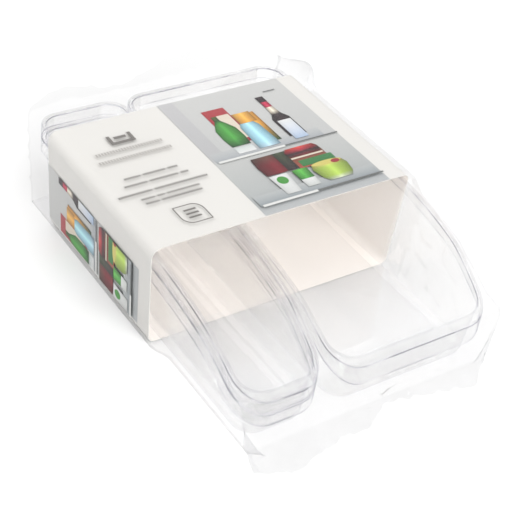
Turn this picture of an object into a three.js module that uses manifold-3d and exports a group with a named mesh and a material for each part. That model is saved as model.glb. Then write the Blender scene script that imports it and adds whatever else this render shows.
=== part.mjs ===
// A retail set of three clear fridge storage bins: one wide bin beside a nested pair of narrow
// bins, held together by a printed card sleeve inside a clear film bag.
// Units are millimetres, +Z is up, and the low open fronts of the bins face -Y.
// The origin is at the bottom centre of the whole pack.

import * as THREE from "three";
import { mergeVertices } from "three/addons/utils/BufferGeometryUtils.js";
import Module from "manifold-3d";

const wasm = await Module();
wasm.setup();

// ---------------------------------------------------------------- driving dimensions

const BIN_LENGTH = 310; // over the rims, front lip to back
const WIDE_WIDTH = 150; // over the rims
const NARROW_WIDTH = 75;
const BIN_GAP = 0.6; // between the wide bin and the narrow pair
const NEST_PITCH = 12; // height that a nested bin adds

const FILM = 0.4; // thickness of the bag's film, as modelled
const CARD = 0.6; // thickness of the sleeve's card
const CLEAR = 0.3; // gap between touching pieces

const RIM_LEVEL = 84; // top of the rims above the surface the pack rests on

const WALL = 0.9; // bin wall, measured across
const FLOOR = 1.4;
const DRAFT = 0.1; // outward lean of the bin walls, per unit of height
const FLOOR_RADIUS = 5; // round where the floor meets the walls
const FRONT_CORNER = 15; // plan radii of the floor's corners, to which the walls' lean adds
const BACK_CORNER = 7;
const RIM_THICK = 1;
const RIM_SIDE = 3.2; // rim overhang beyond the wall, along the sides and the back
const RIM_FRONT = 5.6; // rim overhang at the front lip
const LIP_FALL = 6; // how far the front lip slopes down from its inner edge
const SKIRT_SIDE = NEST_PITCH - CLEAR; // skirt under the rim, which rests on the next bin's rim
const SKIRT_FRONT_NARROW = 10.3;
const SKIRT_FRONT_WIDE = 17;

const SLEEVE_START = 123; // from the front lip to the sleeve
const SLEEVE_LENGTH = 158;
const SLEEVE_TOP_HALF = 114.9; // half width of the card's middle surface under the top folds
const SLEEVE_BOTTOM_HALF = 110.6;
const SLEEVE_LEFT_TOP = 88.2;
const SLEEVE_RIDGE_TOP = 88.6;
const SLEEVE_RIGHT_TOP = 88.2;
const GLUE_LAP = [10, 26]; // heights between which the glued lap doubles the right-hand panel

const BAG_SIDE = 2.4; // slack between the sleeve's sides and the bag
const BAG_RISE = 6.4; // the bag's top above the rims
const BAG_FRONT = 7; // slack in front of the lips
const BAG_LIP = 34; // sealed end that lies flat in front of the lips
const BAG_MOUTH = 14; // open end behind the bins

// Depth of the rim below its highest level at distances from the front: the low front rises
// in a sweep to the level part under the sleeve.
const RIM_SWEEP = [
  [0, 37.5],
  [20, 33],
  [36, 24],
  [54, 14.5],
  [75, 8.5],
  [98, 4.2],
  [122, 1.2],
  [145, 0],
];

// ---------------------------------------------------------------- derived dimensions

const BIN_BASE = FILM + CLEAR + CARD + CLEAR;
const WIDE_HEIGHT = RIM_LEVEL - BIN_BASE;
const NARROW_HEIGHT = WIDE_HEIGHT - NEST_PITCH;
const SET_WIDTH = WIDE_WIDTH + BIN_GAP + NARROW_WIDTH;
const WIDE_X = (SET_WIDTH - WIDE_WIDTH) / 2;
const NARROW_X = (NARROW_WIDTH - SET_WIDTH) / 2;
const RIDGE_X = NARROW_X + NARROW_WIDTH / 2; // the sleeve bulges over the meeting rims
const ORIGIN_Y = (BIN_LENGTH + BAG_MOUTH - BAG_LIP) / 2;

// ---------------------------------------------------------------- materials

const clearPlastic = new THREE.MeshStandardMaterial({
  color: 0xf4f6f8,
  roughness: 0.06,
  metalness: 0,
  transparent: true,
  opacity: 0.3,
});
const printedCard = new THREE.MeshStandardMaterial({ color: 0xe9e4df, roughness: 0.62, metalness: 0 });
const clearFilm = new THREE.MeshStandardMaterial({
  color: 0xfafafa,
  roughness: 0.12,
  metalness: 0,
  transparent: true,
  opacity: 0.18,
});

// ---------------------------------------------------------------- helpers

const sweepCurve = new THREE.SplineCurve(RIM_SWEEP.map(([y, depth]) => new THREE.Vector2(y, depth)));
const sweepPoints = sweepCurve.getPoints(48);

// Depth of the rim below its highest level, at a distance y from the front.
function rimDepth(y) {
  const last = sweepPoints.length - 1;
  if (y <= sweepPoints[0].x) return sweepPoints[0].y;
  if (y >= sweepPoints[last].x) return sweepPoints[last].y;
  const next = sweepPoints.findIndex((point) => point.x > y);
  const before = sweepPoints[next - 1];
  const after = sweepPoints[next];
  return THREE.MathUtils.mapLinear(y, before.x, after.x, before.y, after.y);
}

// Points round a rectangle with round corners, anticlockwise from above, each with its outward
// normal. The sides that follow the sweep have a point every few millimetres.
function floorStations(halfWidth, front, back) {
  const stations = [];
  const cornerSteps = 6;
  const sweepEnd = RIM_SWEEP[RIM_SWEEP.length - 1][0];
  const sweepSteps = 16;

  const corner = (side, y, radius, startAngle) => {
    for (let i = 0; i <= cornerSteps; i += 1) {
      const angle = startAngle + ((Math.PI / 2) * i) / cornerSteps;
      const nx = Math.cos(angle);
      const ny = Math.sin(angle);
      stations.push({ x: side * (halfWidth - radius) + radius * nx, y: y + radius * ny, nx, ny });
    }
  };
  const sweepLevels = [];
  for (let i = 1; i <= sweepSteps; i += 1) {
    sweepLevels.push(THREE.MathUtils.mapLinear(i, 0, sweepSteps, front + FRONT_CORNER, sweepEnd));
  }

  corner(1, front + FRONT_CORNER, FRONT_CORNER, -Math.PI / 2);
  sweepLevels.forEach((y) => stations.push({ x: halfWidth, y, nx: 1, ny: 0 }));
  corner(1, back - BACK_CORNER, BACK_CORNER, 0);
  corner(-1, back - BACK_CORNER, BACK_CORNER, Math.PI / 2);
  sweepLevels.toReversed().forEach((y) => stations.push({ x: -halfWidth, y, nx: -1, ny: 0 }));
  corner(-1, front + FRONT_CORNER, FRONT_CORNER, Math.PI);
  return stations;
}

// A closed body through rings of points: each ring joins the next, and the first and last
// rings are closed by flat caps.
function loft(rings) {
  const count = rings[0].length;
  const positions = rings.flat(2);
  const indices = [];
  for (let ring = 0; ring < rings.length - 1; ring += 1) {
    for (let i = 0; i < count; i += 1) {
      const j = (i + 1) % count;
      const a = ring * count + i;
      const b = ring * count + j;
      indices.push(a, b, b + count, a, b + count, a + count);
    }
  }
  const cap = (ring, flip) => {
    const outline = rings[ring].map(([x, y]) => new THREE.Vector2(x, y));
    THREE.ShapeUtils.triangulateShape(outline, []).forEach(([a, b, c]) => {
      const face = flip ? [a, c, b] : [a, b, c];
      face.forEach((corner) => indices.push(ring * count + corner));
    });
  };
  cap(0, true);
  cap(rings.length - 1, false);
  const geometry = new THREE.BufferGeometry();
  geometry.setAttribute("position", new THREE.Float32BufferAttribute(positions, 3));
  geometry.setIndex(indices);
  geometry.computeVertexNormals();
  return geometry;
}

// A bin: floor, leaning walls, an overhanging rim with a skirt, and a front lip that slopes
// down. Its floor's centre line is x = 0, its front lip y = 0, and its underside z = 0.
function binGeometry(width, height, frontSkirt) {
  const rimHeight = (y) => height - rimDepth(y);
  const sideInset = RIM_SIDE + DRAFT * height;
  const frontInset = RIM_FRONT + DRAFT * rimHeight(0);
  const stations = floorStations(width / 2 - sideInset, frontInset, BIN_LENGTH - sideInset);
  const place = ({ x, y, nx, ny }, grow, z) => [x + nx * grow, y + ny * grow, z];
  const facesFront = ({ ny }) => Math.max(0, -ny) ** 2;

  // The rim overhangs the wall at the height that the sweep gives it, so the low front is narrower.
  const rimTop = (s) => rimHeight(s.y + s.ny * DRAFT * height);
  const overhang = (s) => THREE.MathUtils.lerp(RIM_SIDE, RIM_FRONT, facesFront(s));
  const rimReach = (s) => DRAFT * rimTop(s) + overhang(s);
  const edgeTop = (s) => rimTop(s) - LIP_FALL * facesFront(s);
  const skirt = (s) => THREE.MathUtils.lerp(SKIRT_SIDE, frontSkirt, facesFront(s));

  const ring = (grow, z) => stations.map((s) => place(s, grow(s), z(s)));
  const fillet = (angle, radius, base, inset) => {
    const grow = -radius + radius * Math.sin(angle) + DRAFT * (base + radius * (1 - Math.cos(angle))) - inset;
    const z = base + radius * (1 - Math.cos(angle));
    return ring(() => grow, () => z);
  };
  const quarter = [0, Math.PI / 6, Math.PI / 3, Math.PI / 2];
  const innerRadius = FLOOR_RADIUS - FLOOR / 2;

  return loft([
    ...quarter.map((angle) => fillet(angle, FLOOR_RADIUS, 0, 0)),
    ring((s) => DRAFT * (rimTop(s) - RIM_THICK), (s) => rimTop(s) - RIM_THICK),
    ring((s) => rimReach(s) - WALL, (s) => edgeTop(s) - RIM_THICK),
    ring((s) => rimReach(s) - WALL, (s) => edgeTop(s) - skirt(s)),
    ring(rimReach, (s) => edgeTop(s) - skirt(s)),
    ring(rimReach, edgeTop),
    ring((s) => DRAFT * rimTop(s) - WALL, rimTop),
    ...quarter.toReversed().map((angle) => fillet(angle, innerRadius, FLOOR, WALL)),
  ]);
}

// The card's middle surface as a closed outline: straight panels with round folds.
function sleeveOutline() {
  const base = FILM + CLEAR + CARD / 2;
  const folds = [
    { x: -SLEEVE_TOP_HALF, z: SLEEVE_LEFT_TOP, cut: 10 },
    { x: -SLEEVE_BOTTOM_HALF, z: base, cut: 7 },
    { x: SLEEVE_BOTTOM_HALF, z: base, cut: 7 },
    { x: SLEEVE_TOP_HALF, z: SLEEVE_RIGHT_TOP, cut: 8 },
    { x: RIDGE_X, z: SLEEVE_RIDGE_TOP, cut: 28 },
  ];
  const outline = new THREE.Path();
  folds.forEach((fold, i) => {
    const corner = new THREE.Vector2(fold.x, fold.z);
    const toward = (other) => {
      const direction = new THREE.Vector2(other.x, other.z).sub(corner).normalize();
      return corner.clone().addScaledVector(direction, fold.cut);
    };
    const enter = toward(folds[(i + folds.length - 1) % folds.length]);
    const leave = toward(folds[(i + 1) % folds.length]);
    if (i === 0) outline.moveTo(enter.x, enter.y);
    else outline.lineTo(enter.x, enter.y);
    outline.quadraticCurveTo(corner.x, corner.y, leave.x, leave.y);
  });
  outline.closePath();
  return outline;
}

// The folded card, with the lap where its two ends are glued together.
function sleeveGeometry() {
  const points = sleeveOutline().getPoints(7);
  if (points[0].distanceTo(points[points.length - 1]) < CLEAR) points.pop();
  const panel = points.findIndex((p, i) => points[i + 1].y > p.y + SLEEVE_TOP_HALF / 2);
  const from = points[panel];
  const to = points[panel + 1];
  const at = (z) => from.clone().lerp(to, (z - from.y) / (to.y - from.y));
  const lap = new Set([panel + 1, panel + 2]);
  points.splice(panel + 1, 0, ...GLUE_LAP.map(at));

  const offset = (p, i, distance) => {
    const before = points[(i + points.length - 1) % points.length];
    const after = points[(i + 1) % points.length];
    const along = after.clone().sub(before).normalize();
    return new THREE.Vector2(p.x + along.y * distance, p.y - along.x * distance);
  };
  const outside = points.map((p, i) => offset(p, i, CARD / 2));
  const inside = points.map((p, i) => offset(p, i, lap.has(i) ? -CARD * 1.5 : -CARD / 2));
  const section = new THREE.Shape(outside);
  section.holes.push(new THREE.Path(inside));
  const geometry = new THREE.ExtrudeGeometry(section, { depth: SLEEVE_LENGTH, bevelEnabled: false });
  geometry.rotateX(Math.PI / 2);
  geometry.translate(0, SLEEVE_START + SLEEVE_LENGTH, 0);
  return geometry;
}

// The bag's side view between two distances from the front, its top a constant height over
// the rims' sweep and never below the sleeve.
function bagProfile(front, back, bottom, top) {
  const steps = 14;
  const sweepEnd = RIM_SWEEP[RIM_SWEEP.length - 1][0];
  const profile = [new THREE.Vector2(front, bottom), new THREE.Vector2(back, bottom)];
  profile.push(new THREE.Vector2(back, top));
  for (let i = steps; i >= 0; i -= 1) {
    const y = THREE.MathUtils.mapLinear(i, 0, steps, front, sweepEnd - BAG_FRONT);
    profile.push(new THREE.Vector2(y, top - rimDepth(y + BAG_FRONT)));
  }
  return profile;
}

// A side view in the YZ plane made solid to both sides of x = 0.
function extrudeAcross(profile, halfWidth) {
  const geometry = new THREE.ExtrudeGeometry(new THREE.Shape(profile), {
    depth: 2 * halfWidth,
    bevelEnabled: false,
  });
  geometry.rotateX(Math.PI / 2);
  geometry.rotateZ(Math.PI / 2);
  geometry.translate(-halfWidth, 0, 0);
  return geometry;
}

function toSolid(geometry) {
  const bare = geometry.clone();
  bare.deleteAttribute("normal");
  bare.deleteAttribute("uv");
  const merged = mergeVertices(bare, 1e-4);
  return new wasm.Manifold(
    new wasm.Mesh({
      numProp: 3,
      vertProperties: merged.getAttribute("position").array,
      triVerts: new Uint32Array(merged.getIndex().array),
    }),
  );
}

function toGeometry(solid) {
  const { vertProperties, triVerts } = solid.getMesh();
  const geometry = new THREE.BufferGeometry();
  geometry.setAttribute("position", new THREE.BufferAttribute(vertProperties, 3));
  geometry.setIndex(new THREE.BufferAttribute(triVerts, 1));
  geometry.computeVertexNormals();
  return geometry;
}

// The bag: closed in front, where its sealed end lies flat, and open behind the bins.
function bagGeometry() {
  const halfInside = SLEEVE_TOP_HALF + CARD / 2 + BAG_SIDE;
  const top = RIM_LEVEL + BAG_RISE;
  const back = BIN_LENGTH + BAG_MOUTH;
  const outside = toSolid(extrudeAcross(bagProfile(-BAG_FRONT - FILM, back, 0, top + FILM), halfInside + FILM));
  const inside = toSolid(extrudeAcross(bagProfile(-BAG_FRONT, back + 1, FILM, top), halfInside));
  const seal = new THREE.BoxGeometry(2 * halfInside, BAG_LIP - BAG_FRONT, FILM);
  seal.translate(0, -(BAG_LIP + BAG_FRONT) / 2, FILM / 2);
  return toGeometry(outside.subtract(inside).add(toSolid(seal)));
}

// ---------------------------------------------------------------- assembly

const pack = new THREE.Group();
pack.position.y = -ORIGIN_Y;

function addPiece(name, geometry, material, x = 0, z = 0) {
  const piece = new THREE.Mesh(geometry, material);
  piece.name = name;
  piece.position.set(x, 0, z);
  pack.add(piece);
}

const narrowBin = binGeometry(NARROW_WIDTH, NARROW_HEIGHT, SKIRT_FRONT_NARROW);
const wideBin = binGeometry(WIDE_WIDTH, WIDE_HEIGHT, SKIRT_FRONT_WIDE);

addPiece("wide_bin", wideBin, clearPlastic, WIDE_X, BIN_BASE);
addPiece("narrow_bin_lower", narrowBin, clearPlastic, NARROW_X, BIN_BASE);
addPiece("narrow_bin_upper", narrowBin.clone(), clearPlastic, NARROW_X, BIN_BASE + NEST_PITCH);
addPiece("card_sleeve", sleeveGeometry(), printedCard);
addPiece("film_bag", bagGeometry(), clearFilm);

const fridgeBinSet = new THREE.Group();
fridgeBinSet.name = "fridge_bin_set";
fridgeBinSet.add(pack);

export default fridgeBinSet;
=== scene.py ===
"""Looks for the fridge bin set: clear bins, a printed card sleeve and a crinkled film bag."""

import math

import bpy
import numpy as np
from mathutils import Matrix, Vector, noise
from mathutils.bvhtree import BVHTree


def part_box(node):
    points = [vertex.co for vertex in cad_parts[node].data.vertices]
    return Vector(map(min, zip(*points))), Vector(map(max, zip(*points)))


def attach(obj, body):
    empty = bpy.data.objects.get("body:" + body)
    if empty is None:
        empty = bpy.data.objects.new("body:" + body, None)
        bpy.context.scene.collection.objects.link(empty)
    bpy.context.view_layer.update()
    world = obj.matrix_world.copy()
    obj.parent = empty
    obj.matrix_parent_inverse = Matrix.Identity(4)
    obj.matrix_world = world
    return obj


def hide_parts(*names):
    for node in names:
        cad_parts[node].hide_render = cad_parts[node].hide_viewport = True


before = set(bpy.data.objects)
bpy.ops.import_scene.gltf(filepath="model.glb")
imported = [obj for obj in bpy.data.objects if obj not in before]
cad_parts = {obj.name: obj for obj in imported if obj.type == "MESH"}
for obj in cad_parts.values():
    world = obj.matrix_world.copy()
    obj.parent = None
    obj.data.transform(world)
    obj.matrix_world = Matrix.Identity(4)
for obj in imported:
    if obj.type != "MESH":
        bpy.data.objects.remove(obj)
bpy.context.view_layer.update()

MM = 0.001

wide_low, wide_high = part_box("wide_bin")
narrow_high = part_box("narrow_bin_upper")[1]
card_low, card_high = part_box("card_sleeve")

FRONT = wide_low.y  # the front lips
BACK = wide_high.y
RIM = wide_high.z  # top of the rims, apart from their low fronts
DIVIDER = (narrow_high.x + wide_low.x) / 2  # where the wide and the narrow rims meet


def link(obj):
    bpy.context.scene.collection.objects.link(obj)
    return obj


# ---------------------------------------------------------------- camera

AZIMUTH, ELEVATION, ROLL = (math.radians(angle) for angle in (-38.8, 38.0, 8.79))
DISTANCE = 1.0084
AIM_RIGHT, AIM_UP = 0.0014, 0.0151  # how far the set's middle lies from the picture's centre
SENSOR = 36
FOCAL_LENGTH = 2.5827 * SENSOR


def make_camera():
    target = Vector((0, (FRONT + BACK) / 2, RIM / 2))
    back = Vector((
        math.sin(AZIMUTH) * math.cos(ELEVATION),
        -math.cos(AZIMUTH) * math.cos(ELEVATION),
        math.sin(ELEVATION),
    ))
    level = Vector((0, 0, 1)).cross(back).normalized()
    upright = back.cross(level)
    right = level * math.cos(ROLL) + upright * math.sin(ROLL)
    up = upright * math.cos(ROLL) - level * math.sin(ROLL)
    data = bpy.data.cameras.new("camera")
    data.sensor_width = SENSOR
    data.lens = FOCAL_LENGTH
    camera = link(bpy.data.objects.new("camera", data))
    camera.location = target - right * AIM_RIGHT - up * AIM_UP + back * DISTANCE
    rotation = np.array([right, up, back]).T
    camera.rotation_mode = "QUATERNION"
    camera.rotation_quaternion = Matrix(rotation.tolist()).to_quaternion()
    bpy.context.scene.camera = camera


# ---------------------------------------------------------------- materials

def linear(red, green, blue):
    """An sRGB colour, 0 to 255, as linear light with alpha."""
    def channel(value):
        value /= 255
        return value / 12.92 if value <= 0.04045 else ((value + 0.055) / 1.055) ** 2.4
    return (channel(red), channel(green), channel(blue), 1.0)


MIX_COLOURS = (6, 7)  # a colour Mix node's sockets A and B, which share their names with others
MIX_RESULT = 2


class Nodes:
    """A short way to write a material's node tree."""

    def __init__(self, name):
        self.material = bpy.data.materials.new(name)
        self.material.use_nodes = True
        self.tree = self.material.node_tree
        self.tree.nodes.clear()
        self.output = self.add("ShaderNodeOutputMaterial")

    def add(self, kind, settings=None, **inputs):
        """A node. An input is given by its name with _ for spaces, or as _ and its number."""
        node = self.tree.nodes.new(kind)
        for key, value in (settings or {}).items():
            setattr(node, key, value)
        for key, value in inputs.items():
            socket = node.inputs[int(key[1:]) if key[1:].isdigit() else key.replace("_", " ")]
            if isinstance(value, bpy.types.NodeSocket):
                self.tree.links.new(value, socket)
            else:
                socket.default_value = value
        return node

    def place(self):
        return self.add("ShaderNodeTexCoord").outputs["Object"]

    def between(self, share, first, second):
        """The colour between first and second, at share of the way."""
        mix = self.add("ShaderNodeMix", {"data_type": "RGBA"}, _0=share)
        for index, colour in zip(MIX_COLOURS, (first, second)):
            mix.inputs[index].default_value = colour
        return mix.outputs[MIX_RESULT]

    def scaled(self, colour, amount):
        node = self.add("ShaderNodeVectorMath", {"operation": "SCALE"}, _0=colour, Scale=amount)
        return node.outputs["Vector"]

    def blended(self, share, first, second):
        """The shader between first and second, at share of the way."""
        return self.add("ShaderNodeMixShader", _0=share, _1=first, _2=second).outputs["Shader"]

    def surface(self, socket):
        self.tree.links.new(socket, self.output.inputs["Surface"])
        return self.material


THIN_WALL = 0.84  # share of light that goes straight on, as walls this thin hardly bend it
EDGE_SHINE = 0.12  # share of the rounded edges' look that is reflection


def let_light_through(nodes, seen):
    """Finish a clear material so that it casts hardly a shadow and other surfaces stay lit through it."""
    path = nodes.add("ShaderNodeLightPath")
    passing = nodes.add("ShaderNodeBsdfTransparent", Color=(0.996, 0.996, 0.997, 1)).outputs["BSDF"]
    lit = nodes.blended(path.outputs["Is Diffuse Ray"], seen, passing)
    return nodes.surface(nodes.blended(path.outputs["Is Shadow Ray"], lit, passing))


def clear_plastic(name, tint, roughness):
    """Clear moulded polystyrene: glossy, faintly uneven, and open to the light that falls through it. Where
    the surface turns away from the view, its straight-through share has painted shade: it is painted darker
    and lilac.
    """
    n = Nodes(name)
    ripple = n.add("ShaderNodeTexNoise", Vector=n.place(), Scale=38.0, Detail=2.0)
    bump = n.add("ShaderNodeBump", Strength=0.02, Distance=0.0002, Height=ripple.outputs["Fac"])
    haze = n.add("ShaderNodeMapRange", Value=ripple.outputs["Fac"], To_Min=roughness, To_Max=roughness * 2)
    plastic = n.add(
        "ShaderNodeBsdfPrincipled", Base_Color=tint, Roughness=haze.outputs["Result"], IOR=1.5,
        Transmission_Weight=1.0, Normal=bump.outputs["Normal"],
    )
    # painted shade: the see-through share turns lilac grey at grazing angles, standing in for the dark
    # outlines that bent light gives clear walls
    turn = n.add("ShaderNodeLayerWeight", Blend=0.5)
    painted_edge_shade = n.add("ShaderNodeMapRange", Value=turn.outputs["Facing"], From_Min=0.78, From_Max=0.98)
    painted_shade_tone = n.between(painted_edge_shade.outputs["Result"], (0.998, 0.998, 0.998, 1), (0.75, 0.75, 0.79, 1))
    wall = n.add("ShaderNodeBsdfTransparent", Color=painted_shade_tone)
    return let_light_through(n, n.blended(THIN_WALL, plastic.outputs["BSDF"], wall.outputs["BSDF"]))


def moulded_edge_painted_shade():
    """The rounded edges of the moulding, with painted shade: a darker tone with uneven painted dark glints,
    standing in for how real rounded edges gather light from the side and so look darker.
    """
    n = Nodes("clear_plastic_edge_painted_shade")
    uneven = n.add("ShaderNodeTexNoise", Vector=n.place(), Scale=45.0, Detail=2.0)
    # painted glints: noise picks between a dark lilac painted shade and a pale grey
    painted_glints = n.add("ShaderNodeMapRange", Value=uneven.outputs["Fac"], From_Min=0.36, From_Max=0.6)
    painted_shade_tone = n.between(painted_glints.outputs["Result"], (0.43, 0.43, 0.49, 1), (0.88, 0.88, 0.905, 1))
    painted_shade_filter = n.add("ShaderNodeBsdfTransparent", Color=painted_shade_tone)
    shine = n.add("ShaderNodeBsdfGlossy", Color=(0.9, 0.9, 0.92, 1), Roughness=0.08)
    return let_light_through(n, n.blended(EDGE_SHINE, painted_shade_filter.outputs["BSDF"], shine.outputs["BSDF"]))


def film_material():
    """Clear crinkled film: nearly all see-through, milky where slack, with a sheen along the creases."""
    n = Nodes("clear_film")
    where = n.place()
    crinkle = n.add("ShaderNodeTexVoronoi", {"feature": "DISTANCE_TO_EDGE"}, Vector=where, Scale=55.0)
    soft = n.add("ShaderNodeTexNoise", Vector=where, Scale=60.0, Detail=3.0)
    edges = n.add(
        "ShaderNodeMath", {"operation": "MULTIPLY_ADD"},
        _0=crinkle.outputs["Distance"], _1=0.6, _2=soft.outputs["Fac"],
    )
    bump = n.add("ShaderNodeBump", Strength=0.15, Distance=0.0005, Height=edges.outputs["Value"])
    slack = n.add("ShaderNodeAttribute", {"attribute_name": "slack"})
    patches = n.add(
        "ShaderNodeMapRange", Value=soft.outputs["Fac"], From_Min=0.3, From_Max=0.7, To_Min=0.7, To_Max=1.2,
    )
    folds = n.add(
        "ShaderNodeMath", {"operation": "MULTIPLY"}, _0=slack.outputs["Fac"], _1=patches.outputs["Result"],
    )
    veil = n.add(
        "ShaderNodeMapRange", Value=folds.outputs["Value"], From_Max=2.0, To_Min=0.966, To_Max=0.884,
    )
    clear = n.add("ShaderNodeBsdfTransparent", Color=veil.outputs["Result"])
    shine = n.add(
        "ShaderNodeBsdfGlossy", Color=(0.92, 0.92, 0.94, 1), Roughness=0.12, Normal=bump.outputs["Normal"],
    )
    grazing = n.add("ShaderNodeLayerWeight", Blend=0.22, Normal=bump.outputs["Normal"])
    share = n.add("ShaderNodeMapRange", Value=grazing.outputs["Fresnel"], To_Min=0.015, To_Max=0.28)
    return let_light_through(
        n, n.blended(share.outputs["Result"], clear.outputs["BSDF"], shine.outputs["BSDF"])
    )


def card_material():
    """Off-white printed board outside and bare pinkish board inside, with fine fibres."""
    n = Nodes("printed_card")
    where = n.place()
    middle = (0.0, 0.0, RIM / 2)
    normal = n.add("ShaderNodeTexCoord").outputs["Normal"]
    outward = n.add("ShaderNodeVectorMath", {"operation": "SUBTRACT"}, _0=where, _1=middle)
    facing = n.add(
        "ShaderNodeVectorMath", {"operation": "DOT_PRODUCT"}, _0=outward.outputs["Vector"], _1=normal,
    )
    outside = n.add("ShaderNodeMath", {"operation": "GREATER_THAN"}, _0=facing.outputs["Value"], _1=0.0)
    board = n.between(outside.outputs["Value"], linear(240, 235, 230), linear(201, 199, 195))
    cloud = n.add("ShaderNodeTexNoise", Vector=where, Scale=9.0, Detail=2.0)
    mottle = n.add("ShaderNodeMapRange", Value=cloud.outputs["Fac"], To_Min=0.95, To_Max=1.04)
    fibre = n.add("ShaderNodeTexNoise", Vector=where, Scale=900.0, Detail=4.0)
    bump = n.add("ShaderNodeBump", Strength=0.12, Distance=0.0002, Height=fibre.outputs["Fac"])
    rough = n.add("ShaderNodeMapRange", Value=fibre.outputs["Fac"], To_Min=0.42, To_Max=0.62)
    skin = n.add(
        "ShaderNodeBsdfPrincipled", Base_Color=n.scaled(board, mottle.outputs["Result"]),
        Roughness=rough.outputs["Result"], Normal=bump.outputs["Normal"],
    )
    return n.surface(skin.outputs["BSDF"])


def ink_material():
    """Printing ink: the colours of the drawn shapes with a little grain."""
    n = Nodes("print_ink")
    colour = n.add("ShaderNodeVertexColor", {"layer_name": "ink"}).outputs["Color"]
    grain = n.add("ShaderNodeTexNoise", Vector=n.place(), Scale=700.0, Detail=3.0)
    soft = n.add("ShaderNodeMapRange", Value=grain.outputs["Fac"], To_Min=0.66, To_Max=0.78)
    rough = n.add("ShaderNodeMapRange", Value=grain.outputs["Fac"], To_Min=0.36, To_Max=0.5)
    skin = n.add(
        "ShaderNodeBsdfPrincipled", Base_Color=n.scaled(colour, soft.outputs["Result"]),
        Roughness=rough.outputs["Result"],
    )
    return n.surface(skin.outputs["BSDF"])


# ---------------------------------------------------------------- CAD nodes that keep their shape

WELD = 0.01 * MM
CARD_ROUND = 0.3 * MM
PLASTIC_ROUND = 0.4 * MM


def dress(node, material, painted_shade_edge_material=None):
    """The CAD node's own mesh with smooth faces, slightly rounded edges and a better material. A second
    material, if given, goes on the rounded edges and paints them darker with painted shade.
    """
    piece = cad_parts[node]
    piece.data.materials.clear()
    piece.data.materials.append(material)
    for face in piece.data.polygons:
        face.use_smooth = True
    weld = piece.modifiers.new("weld", "WELD")
    weld.merge_threshold = WELD
    bevel = piece.modifiers.new("round_edges", "BEVEL")
    bevel.width = CARD_ROUND
    bevel.segments = 2
    bevel.limit_method = "ANGLE"
    bevel.angle_limit = math.radians(35)
    if painted_shade_edge_material:
        piece.data.materials.append(painted_shade_edge_material)
        bevel.width = PLASTIC_ROUND
        bevel.material = 1
    normals = piece.modifiers.new("normals", "WEIGHTED_NORMAL")
    normals.keep_sharp = True


# ---------------------------------------------------------------- the sleeve's print

class Artwork:
    """Flat coloured shapes laid on the card. place(a, b) gives the point on the card and its normal."""

    LIFT = 0.1 * MM  # height of the first shape over the card
    STEP = 0.05 * MM  # height that each further shape adds

    def __init__(self, place, low=-math.inf, high=math.inf):
        self.place, self.low, self.high = place, low, high
        self.points, self.faces, self.colours = [], [], []
        self.layer = 0

    def vertex(self, a, b, colour):
        a = min(max(a, self.low), self.high)
        point, normal = self.place(a, b)
        self.points.append(point + normal * (self.LIFT + self.layer * self.STEP))
        self.colours.append(colour)
        return len(self.points) - 1

    def grid(self, rows):
        """Rows of (a, b, colour), all the same length, joined into faces."""
        made = [[self.vertex(*corner) for corner in row] for row in rows]
        for lower, upper in zip(made, made[1:]):
            for i in range(len(lower) - 1):
                self.faces.append((lower[i], lower[i + 1], upper[i + 1], upper[i]))
        self.layer += 1

    def panel(self, a0, a1, b0, b1, low_colour, high_colour=None, steps=6):
        """A rectangle, its colour turning from low_colour at b0 to high_colour at b1."""
        self.grid([
            [(a0 + (a1 - a0) * i / steps, b, colour) for i in range(steps + 1)]
            for b, colour in ((b0, low_colour), (b1, high_colour or low_colour))
        ])

    def turned(self, centre, rows, shades=(0.45, 0.8, 1.05, 1.45, 1.0, 0.75, 0.4)):
        """A round object seen from the side: rows of (b, half width, colour), shaded across."""
        last = len(shades) - 1
        self.grid([
            [
                (centre + half * (2 * i / last - 1), b, tuple(min(1, c * shade) for c in colour[:3]) + (1,))
                for i, shade in enumerate(shades)
            ]
            for b, half, colour in rows
        ])

    def disc(self, centre, b, half, height, colour, steps=14):
        """An ellipse."""
        angles = [math.pi * i / steps for i in range(steps + 1)]
        self.grid([
            [(centre + half * math.cos(t), b + side * height * math.sin(t), colour) for t in angles]
            for side in (-1, 1)
        ])

    def piece(self, name, material):
        mesh = bpy.data.meshes.new(name)
        mesh.from_pydata(self.points, [], self.faces)
        ink = mesh.color_attributes.new("ink", "FLOAT_COLOR", "POINT")
        ink.data.foreach_set("color", np.array(self.colours, np.float32).ravel())
        mesh.materials.append(material)
        return link(bpy.data.objects.new(name, mesh))


RED = linear(158, 38, 52)
LIGHT_RED = linear(176, 60, 66)
DEEP_RED = linear(110, 24, 34)
PINK = linear(190, 44, 78)
GREEN = linear(70, 150, 60)
DARK_GREEN = linear(38, 84, 42)
SKY = linear(166, 214, 230)
ORANGE = linear(226, 160, 62)
CREAM = linear(226, 214, 196)
DARK = linear(48, 34, 38)
WHITE = linear(232, 233, 232)
LIME = linear(168, 196, 84)
YELLOW = linear(214, 200, 112)
SHELF = linear(226, 227, 224)
LINE = linear(112, 114, 113)
LABEL_SHADES = (0.85, 1.0, 1.0, 0.95)
POT_SHADES = (0.8, 0.95, 1.0, 1.0, 0.85)


def draw_back_wall(art):
    art.panel(0, 1, 0, 0.055, linear(186, 189, 190), linear(180, 183, 184))
    art.panel(0, 1, 0.055, 0.44, linear(176, 180, 180), linear(196, 197, 195))
    art.panel(0, 1, 0.44, 1, linear(196, 197, 196), linear(206, 206, 204))
    art.panel(0, 0.12, 0.46, 1, linear(186, 186, 187), linear(198, 197, 198))


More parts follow.
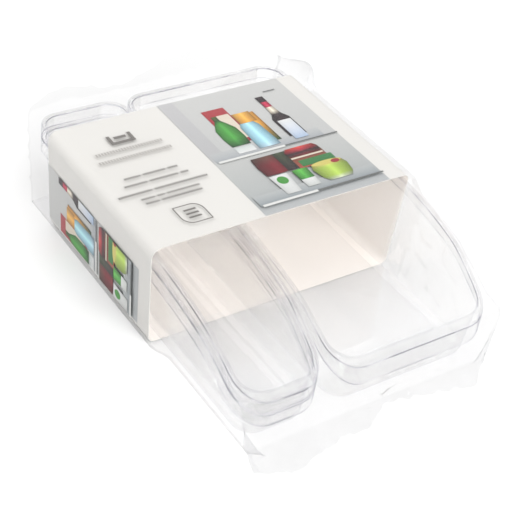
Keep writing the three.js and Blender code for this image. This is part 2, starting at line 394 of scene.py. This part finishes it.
def draw_upper_shelf(art):
    art.panel(0.02, 0.9, 0.445, 0.52, linear(170, 174, 178), linear(192, 194, 194))
    art.panel(0.24, 0.42, 0.55, 0.86, RED, LIGHT_RED, 2)
    art.panel(0.30, 0.41, 0.58, 0.8, CREAM, steps=2)
    art.turned(0.29, [
        (0.53, 0.075, DARK_GREEN), (0.6, 0.085, GREEN), (0.68, 0.08, GREEN), (0.73, 0.045, GREEN),
        (0.76, 0.022, DARK_GREEN), (0.8, 0.022, linear(90, 96, 50)),
    ])
    art.panel(0.22, 0.36, 0.47, 0.52, WHITE, linear(206, 214, 212), 2)
    art.turned(0.54, [(0.5, 0.05, DARK_GREEN), (0.66, 0.05, ORANGE), (0.77, 0.05, ORANGE)])
    art.turned(0.47, [
        (0.47, 0.085, linear(178, 206, 222)), (0.52, 0.085, SKY), (0.66, 0.075, SKY), (0.70, 0.05, SKY),
    ])
    art.turned(0.49, [(0.69, 0.07, ORANGE), (0.78, 0.07, linear(232, 176, 84))])
    art.turned(0.73, [
        (0.5, 0.07, DARK), (0.66, 0.07, DARK), (0.70, 0.04, DARK), (0.73, 0.034, CREAM),
        (0.77, 0.03, CREAM),
    ])
    art.turned(0.73, [(0.77, 0.03, PINK), (0.82, 0.03, PINK)])
    art.turned(0.73, [(0.82, 0.031, DARK), (0.87, 0.031, DARK)])
    art.turned(0.735, [
        (0.47, 0.055, linear(176, 196, 222)), (0.55, 0.055, linear(214, 222, 234)), (0.64, 0.055, WHITE),
    ], LABEL_SHADES)
    art.panel(0.8, 0.9, 0.9, 0.907, LINE, steps=1)
    art.panel(0.03, 0.56, 0.432, 0.448, SHELF)
    art.panel(0.56, 1, 0.436, 0.445, LINE)


def draw_lower_shelf(art):
    art.panel(0.02, 0.98, 0.06, 0.14, linear(150, 158, 162), linear(186, 189, 189))
    art.turned(0.36, [(0.25, 0.12, DEEP_RED), (0.33, 0.13, DEEP_RED), (0.4, 0.12, linear(88, 60, 50))])
    art.turned(0.46, [(0.25, 0.05, DARK), (0.4, 0.05, linear(60, 70, 48))])
    art.panel(0.5, 0.77, 0.24, 0.36, linear(170, 84, 64), linear(96, 60, 44))
    art.panel(0.53, 0.8, 0.25, 0.3, linear(52, 120, 62), linear(60, 128, 70))
    art.turned(0.63, [
        (0.335, 0.12, DEEP_RED), (0.36, 0.135, DARK), (0.38, 0.135, RED), (0.405, 0.11, linear(206, 70, 60)),
    ])
    art.panel(0.5, 0.76, 0.318, 0.33, CREAM)
    art.turned(0.31, [(0.09, 0.055, linear(214, 216, 214)), (0.24, 0.07, WHITE)], POT_SHADES)
    art.disc(0.31, 0.195, 0.04, 0.03, GREEN)
    art.turned(0.48, [(0.1, 0.05, linear(206, 210, 206)), (0.16, 0.055, WHITE)], POT_SHADES)
    art.turned(0.48, [(0.16, 0.055, GREEN), (0.24, 0.06, linear(90, 176, 70))])
    art.turned(0.70, [
        (0.1, 0.09, linear(196, 204, 180)), (0.13, 0.12, LIME), (0.2, 0.14, LIME), (0.24, 0.12, YELLOW),
    ])
    art.disc(0.7, 0.235, 0.12, 0.018, YELLOW)
    art.disc(0.77, 0.23, 0.035, 0.015, RED)
    art.panel(0.03, 0.46, 0.048, 0.064, SHELF)
    art.panel(0.46, 1, 0.052, 0.062, LINE)


def draw_fridge(art):
    """Two glass shelves with bottles, jars and bowls in front of a pale grey back wall."""
    draw_back_wall(art)
    draw_upper_shelf(art)
    draw_lower_shelf(art)


GREY = linear(124, 120, 116)
SOFT_GREY = linear(184, 180, 175)
# centre, height on the card, size and colour of each line of blocks, and the lengths of its "words"
WORD_LINES = (
    (-0.43, 0.715, 0.022, SOFT_GREY, (0.5,)),
    (-0.43, 0.65, 0.022, SOFT_GREY, (0.55,)),
    (-0.44, 0.495, 0.016, GREY, (0.12, 0.17, 0.08)),
    (-0.44, 0.44, 0.016, GREY, (0.16, 0.22, 0.06)),
    (-0.44, 0.375, 0.016, GREY, (0.25, 0.39)),
    (-0.43, 0.325, 0.015, GREY, (0.1, 0.06, 0.24)),
    (-0.43, 0.29, 0.015, GREY, (0.1, 0.3)),
)
TRAY_MARK = (
    (-0.50, -0.36, 0.765, 0.785),
    (-0.52, -0.495, 0.765, 0.84),
    (-0.365, -0.34, 0.765, 0.84),
    (-0.475, -0.385, 0.805, 0.825),
)
BADGE = (-0.42, 0.145)
ASPECT = 0.73  # ART_WIDTH over the sleeve's length, which keeps the round corners round
# x side, y side, first angle, and whether it is round, for each corner of the badge
BADGE_CORNERS = ((1, 1, 0, True), (-1, 1, 90, False), (-1, -1, 180, True), (1, -1, 270, False))


def draw_line(art, centre, b, height, colour, lengths):
    """A centred line of short blocks, standing in for wording."""
    pitch, gap = height * 0.95, height * 0.34
    counts = [round(length / pitch) for length in lengths]
    start = centre - (sum(counts) + len(counts) - 1) * pitch / 2
    for count in counts:
        for _ in range(count):
            art.panel(start, start + pitch - gap, b - height / 2, b + height / 2, colour, steps=1)
            art.layer -= 1
            start += pitch
        start += pitch


def badge_outline(half_a, half_b, cut):
    """The badge's closed outline round its centre, with two square and two round corners."""
    ring = []
    for side_a, side_b, start, is_round in BADGE_CORNERS:
        for k in range(7):
            angle = math.radians(start + 15 * k)
            if is_round:
                a = side_a * (half_a - cut) + cut * math.cos(angle)
                b = side_b * (half_b - cut * ASPECT) + cut * ASPECT * math.sin(angle)
            else:
                a, b = side_a * half_a, side_b * half_b
            ring.append((BADGE[0] + a, BADGE[1] + b, GREY))
    return ring + ring[:1]


def draw_words(art):
    """Plain blocks where wording would be, a small tray mark, and a badge with three bars for three bins."""
    for box in TRAY_MARK:
        art.panel(*box, GREY, steps=1)
    for line in WORD_LINES:
        draw_line(art, *line)
    art.grid([badge_outline(0.090, 0.062, 0.07), badge_outline(0.098, 0.068, 0.075)])
    for k in range(3):
        b = BADGE[1] - 0.032 + 0.027 * k
        art.panel(BADGE[0] - 0.045, BADGE[0] + 0.045, b, b + 0.012, GREY, steps=1)
        art.layer -= 1


ART_LEFT = -0.020  # x where the picture of the fridge starts on the top
ART_WIDTH = 0.115
SIDE_BOTTOM = 0.0075  # height where the picture's shown part starts on the side
SIDE_WIDTH = 0.1
SIDE_SHOWN = (0.24, 0.76)  # the part of the picture's width that fits on the side
SIDE_MARGIN = 0.016  # plain card at the front of the side
INSET = 0.01 * MM  # keeps the outermost points from falling past the card's edge
FAR = 0.2


def print_on_card(material):
    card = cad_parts["card_sleeve"].data
    tree = BVHTree.FromPolygons([v.co for v in card.vertices], [p.vertices for p in card.polygons])
    length = card_high.y - card_low.y

    def on_top(a, b):
        y = min(max(card_low.y + length * b, card_low.y + INSET), card_high.y - INSET)
        hit = tree.ray_cast(Vector((ART_LEFT + ART_WIDTH * a, y, FAR)), Vector((0, 0, -1)))[0]
        return hit, Vector((0, 0, 1))

    def on_side(a, b):
        y = min(card_low.y + SIDE_MARGIN + (length - SIDE_MARGIN) * b, card_high.y - INSET)
        z = SIDE_BOTTOM + SIDE_WIDTH * (a - SIDE_SHOWN[0])
        hit = tree.ray_cast(Vector((-FAR, y, z)), Vector((1, 0, 0)))[0]
        return hit, Vector((-1, 0, 0))

    top = Artwork(on_top)
    draw_fridge(top)
    draw_words(top)
    side = Artwork(on_side, *SIDE_SHOWN)
    draw_fridge(side)
    for name, art in (("print_top", top), ("print_side", side)):
        made = art.piece(name, material)
        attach(made, "sleeve")


# ---------------------------------------------------------------- the film bag

# (distance from the front lip, depth of the rim there below its highest level), in millimetres
SWEEP = ((0, 37.5), (20, 33), (36, 24), (54, 14.5), (75, 8.5), (98, 4.2), (122, 1.2), (145, 0))
# (x, y) along the sealed front edge: a long ear at the left, a notch between the bins, a shorter right
LIP = (
    (-0.110, -0.164), (-0.088, -0.178), (-0.048, -0.167), (-0.012, -0.164), (0.009, -0.152),
    (0.040, -0.157), (0.085, -0.167), (0.101, -0.152), (0.118, -0.140),
)
# (x, reach behind the bins, rise above the rims) along the open mouth: a low peak and a high one
MOUTH = (
    (-0.118, 0.002, 0.0), (-0.098, 0.006, 0.006), (-0.070, 0.007, 0.0068), (-0.045, 0.004, 0.001),
    (-0.032, 0.005, 0.001), (0.000, 0.011, 0.007), (0.030, 0.018, 0.0115), (0.046, 0.023, 0.0135),
    (0.056, 0.016, 0.008), (0.095, 0.011, 0.0035), (0.118, 0.003, 0.002),
)

BOTTOM_HALF = 0.1055  # half the bag's width on the floor, where there is no sleeve
TOP_HALF = 0.1140  # the same at the rims
CARD_SPREAD = (0.0063, 0.0022)  # what the sleeve adds to those two
OVER_RIMS = 0.0018  # room between the rims and the film
OVER_CARD = 0.0012
THICKNESS = 0.0011  # between the two layers at the seal
SHOULDER = 0.006  # round of the bag's upper corners
CREASE = 0.020  # size of the film's facets
STATION = 0.003  # distance between the bag's sections
MOUTH_STEPS, SEAL_STEPS = 5, 18
ACROSS, UP, TURN = 84, 30, 5  # steps across the floor or the top, up a side, and round a shoulder
FLOOR_GAP = 0.0003  # the film's lowest point
PEAK = 0.1028  # the film's highest point

# how far the creases stand out everywhere, and what each place adds to that
LOOSE = 0.0008
LOOSE_FRONT = 0.0012
LOOSE_BACK = 0.0016
LOOSE_MOUTH = 0.0015
LOOSE_CLOSING = 0.016
LOOSE_SEAL = 0.0015
# how milky the film is where it hangs loose
SLACK_BACK = 1.0
SLACK_SEAL = 1.2
SLACK_EAR = 1.8
SLACK_MOUTH = 2.6
# the ear of film that stands out at the right, behind the sleeve
EAR_Y, EAR_LENGTH, EAR_DEPTH = 0.134, 0.020, 0.022  # its middle, and how fast it fades along and down
EAR_X = (0.098, 0.113)
EAR_OUT, EAR_UP = 0.013, 0.007
BIN_SAG = 0.0030  # how far the film sags over each bin's open front

FLOOR_SIDE, RIGHT_SIDE, TOP_SIDE, LEFT_SIDE = range(4)


def smooth(low, high, value):
    """0 up to low, 1 from high, and a smooth rise between."""
    t = min(max((value - low) / (high - low), 0), 1)
    return t * t * (3 - 2 * t)


def hump(value, centre, width):
    return math.exp(-((value - centre) / width) ** 2)


def curve_between(start, corner, end, t):
    """A point on the quadratic curve from start to end that is drawn towards corner."""
    return start * (1 - t) ** 2 + 2 * t * (1 - t) * corner + end * t * t


def along(table, column, value):
    """A column of the table at a value of its first column."""
    return float(np.interp(value, [row[0] for row in table], [row[column] for row in table]))


def rim_height(y):
    """Height of the rims at a place along the bins, from the same sweep as the moulding."""
    return RIM - along(SWEEP, 1, (y - FRONT) / MM) * MM


def crease(point):
    """Sharp ridges between soft facets, 0 to 1."""
    near, far = noise.voronoi(point / CREASE)[0][:2]
    ridge = max(0.0, 1 - 3.5 * (far - near))
    return 0.55 * ridge + 0.45 * min(1.0, 1.5 * abs(noise.noise(point / CREASE * 0.8)))


def outline(bottom, top, height, cut):
    """A section of the bag with rounded upper corners: (x, z, side)."""
    ring = [(-bottom + 2 * bottom * k / ACROSS, 0.0, FLOOR_SIDE) for k in range(ACROSS)]
    upward = [
        (bottom + (top - bottom) * t, (height - cut) * t, RIGHT_SIDE)
        for t in (k / UP for k in range(UP))
    ]
    turn = [
        (curve_between(top, top, top - cut, t), curve_between(height - cut, height, height, t), RIGHT_SIDE)
        for t in (k / TURN for k in range(TURN))
    ]
    ring += upward + turn
    ring += [((top - cut) * (1 - 2 * k / ACROSS), height, TOP_SIDE) for k in range(ACROSS)]
    ring += [(-x, z, LEFT_SIDE) for x, z, _ in reversed(turn + [(top - cut, height, RIGHT_SIDE)])]
    ring += [(-x, z, LEFT_SIDE) for x, z, _ in reversed(upward[1:])]
    return ring


class Section:
    """The bag's sizes at y. opening and closing go from 0 at the bins to 1 at the mouth and the seal."""

    def __init__(self, y, opening=0.0, closing=0.0):
        self.y, self.opening, self.closing = y, opening, closing
        over_card = smooth(card_low.y - 0.022, card_low.y - 0.003, y)
        bottom = BOTTOM_HALF + CARD_SPREAD[0] * over_card - 0.010 * hump(closing, 0.28, 0.16)
        self.top = TOP_HALF + CARD_SPREAD[1] * over_card - 0.003 * closing
        height = (rim_height(y) + OVER_RIMS) * (1 - over_card) + (card_high.z + OVER_CARD) * over_card
        self.height = height * (1 - closing) ** 1.25 + THICKNESS
        self.loose = (
            LOOSE + LOOSE_FRONT * (1 - over_card) + LOOSE_BACK * smooth(card_high.y, BACK, y)
            + LOOSE_MOUTH * opening + LOOSE_CLOSING * closing * (1 - closing) + LOOSE_SEAL * closing
        )
        self.ring = outline(bottom, self.top, self.height, min(SHOULDER, self.height * 0.4))

    def sink(self, x):
        """How far the top sags over each bin's open front."""
        if self.y >= card_low.y - 0.015 or self.closing:
            return 0.0
        half = self.top - DIVIDER if x > DIVIDER else self.top + DIVIDER
        span = min(abs(x - DIVIDER) / half, 1)
        return BIN_SAG * math.sin(math.pi * span) * smooth(0, 0.04, card_low.y - self.y)

    def reach(self, x, wave):
        """The y of the film at x, which follows the seal's and the mouth's outlines at the two ends."""
        if self.closing:
            return (
                FRONT + self.closing * (along(LIP, 1, x) - FRONT) + 0.004 * self.closing * (wave - 0.4)
            )
        if self.opening:
            return BACK + self.opening * along(MOUTH, 1, x) + 0.0008 * self.opening * wave
        return self.y

    def film(self, x, z, side):
        """The film's point and its slack for a point of the section's outline."""
        wave = crease(Vector((x, self.y - 0.034 * self.closing, z + 0.4 * side)))
        ear = hump(self.y, EAR_Y, EAR_LENGTH) * hump(z, self.height, EAR_DEPTH) * smooth(*EAR_X, x)
        rise = self.opening ** 1.5 * along(MOUTH, 2, x) * smooth(0.4 * self.height, self.height, z)
        out_x = out_z = 0.0
        if side == TOP_SIDE:
            out_z = self.loose * wave - self.sink(x)
        elif side in (RIGHT_SIDE, LEFT_SIDE):
            out_x = (1 if side == RIGHT_SIDE else -1) * 0.6 * self.loose * wave * smooth(0, 0.012, z)
        slack = max(
            SLACK_BACK * smooth(card_high.y - 0.01, card_high.y + 0.015, self.y),
            SLACK_SEAL * smooth(0, 0.06, self.closing),
            SLACK_EAR * ear,
            SLACK_MOUTH * smooth(0, 0.3, self.opening),
        )
        point = Vector((
            x + out_x + EAR_OUT * ear + 0.006 * self.opening ** 2 * smooth(0.09, 0.115, x),
            self.reach(x, wave),
            min(max(z + out_z + EAR_UP * ear + rise, FLOOR_GAP), PEAK),
        ))
        return point, slack


def bag_mesh():
    """A tube of film round the set: open and loose behind, closed and crumpled flat in front."""
    sections = [Section(BACK, opening=k / MOUTH_STEPS) for k in range(MOUTH_STEPS, 0, -1)]
    sections += [Section(y) for y in np.arange(BACK, FRONT, -STATION)]
    sections += [Section(FRONT, closing=k / SEAL_STEPS) for k in range(1, SEAL_STEPS + 1)]
    points, faces, slack = [], [], []
    for section in sections:
        first, count = len(points), len(section.ring)
        for corner in section.ring:
            point, looseness = section.film(*corner)
            points.append(point)
            slack.append(looseness)
        if first:
            faces += [
                (first - count + j, first - count + (j + 1) % count, first + (j + 1) % count, first + j)
                for j in range(count)
            ]
    mesh = bpy.data.meshes.new("film_wrap")
    mesh.from_pydata(points, [], faces)
    mesh.update()
    mesh.attributes.new("slack", "FLOAT", "POINT").data.foreach_set("value", slack)
    for face in mesh.polygons:
        face.use_smooth = True
    return mesh


def make_bag(material):
    piece = link(bpy.data.objects.new("film_wrap", bag_mesh()))
    piece.data.materials.append(material)
    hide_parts("film_bag")
    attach(piece, "bag")


# ---------------------------------------------------------------- floor and light

FLOOR_HALF = 6.0
FLOOR_LEVEL = -0.5 * MM
FLOOR_PAINT = (0.715, 0.715, 0.715, 1)
SKY_HORIZON, SKY_ZENITH = 0.86, 1.0
SKY_RISE = 0.45  # height, on a sky of radius 1, where it is as bright as at the zenith


def make_floor():
    mesh = bpy.data.meshes.new("floor")
    corners = ((-1, -1), (1, -1), (1, 1), (-1, 1))
    mesh.from_pydata([(FLOOR_HALF * x, FLOOR_HALF * y, FLOOR_LEVEL) for x, y in corners], [], [(0, 1, 2, 3)])
    n = Nodes("floor")
    mesh.materials.append(n.surface(n.add("ShaderNodeBsdfDiffuse", Color=FLOOR_PAINT).outputs["BSDF"]))
    link(bpy.data.objects.new("floor", mesh))


def make_sky():
    world = bpy.data.worlds.new("studio")
    bpy.context.scene.world = world
    world.use_nodes = True
    tree = world.node_tree
    tree.nodes.clear()
    place = tree.nodes.new("ShaderNodeTexCoord")
    split = tree.nodes.new("ShaderNodeSeparateXYZ")
    ramp = tree.nodes.new("ShaderNodeMapRange")
    ramp.inputs["From Max"].default_value = SKY_RISE
    ramp.inputs["To Min"].default_value = SKY_HORIZON
    ramp.inputs["To Max"].default_value = SKY_ZENITH
    background = tree.nodes.new("ShaderNodeBackground")
    out = tree.nodes.new("ShaderNodeOutputWorld")
    tree.links.new(place.outputs["Generated"], split.inputs["Vector"])
    tree.links.new(split.outputs["Z"], ramp.inputs["Value"])
    tree.links.new(ramp.outputs["Result"], background.inputs["Color"])
    tree.links.new(background.outputs["Background"], out.inputs["Surface"])


def soft_sun(name, toward, strength, spread):
    """A broad lamp that lights surfaces but doesn't show in their reflections."""
    data = bpy.data.lights.new(name, "SUN")
    data.energy = strength
    data.angle = math.radians(spread)
    lamp = link(bpy.data.objects.new(name, data))
    lamp.rotation_euler = (-Vector(toward)).to_track_quat("-Z", "Y").to_euler()
    lamp.visible_glossy = False


def make_stage():
    make_floor()
    make_sky()
    soft_sun("key", (-0.45, 0.25, 0.85), 0.7, 60)
    soft_sun("front", (-0.03, -0.85, 0.62), 2.3, 45)


# ---------------------------------------------------------------- the scene

LIGHT_BOUNCES = 32  # enough for light to pass every layer of film and plastic

make_camera()
make_stage()
plastic = clear_plastic("clear_plastic", (0.996, 0.996, 0.998, 1), 0.02)
# painted shade for the bins' rounded edges
painted_edge_shade = moulded_edge_painted_shade()
for bin_node in ("wide_bin", "narrow_bin_lower", "narrow_bin_upper"):
    dress(bin_node, plastic, painted_edge_shade)
dress("card_sleeve", card_material())
print_on_card(ink_material())
make_bag(film_material())

scene = bpy.context.scene
scene.view_settings.view_transform = "Standard"
scene.cycles.max_bounces = LIGHT_BOUNCES
scene.cycles.transmission_bounces = LIGHT_BOUNCES
scene.cycles.transparent_max_bounces = LIGHT_BOUNCES
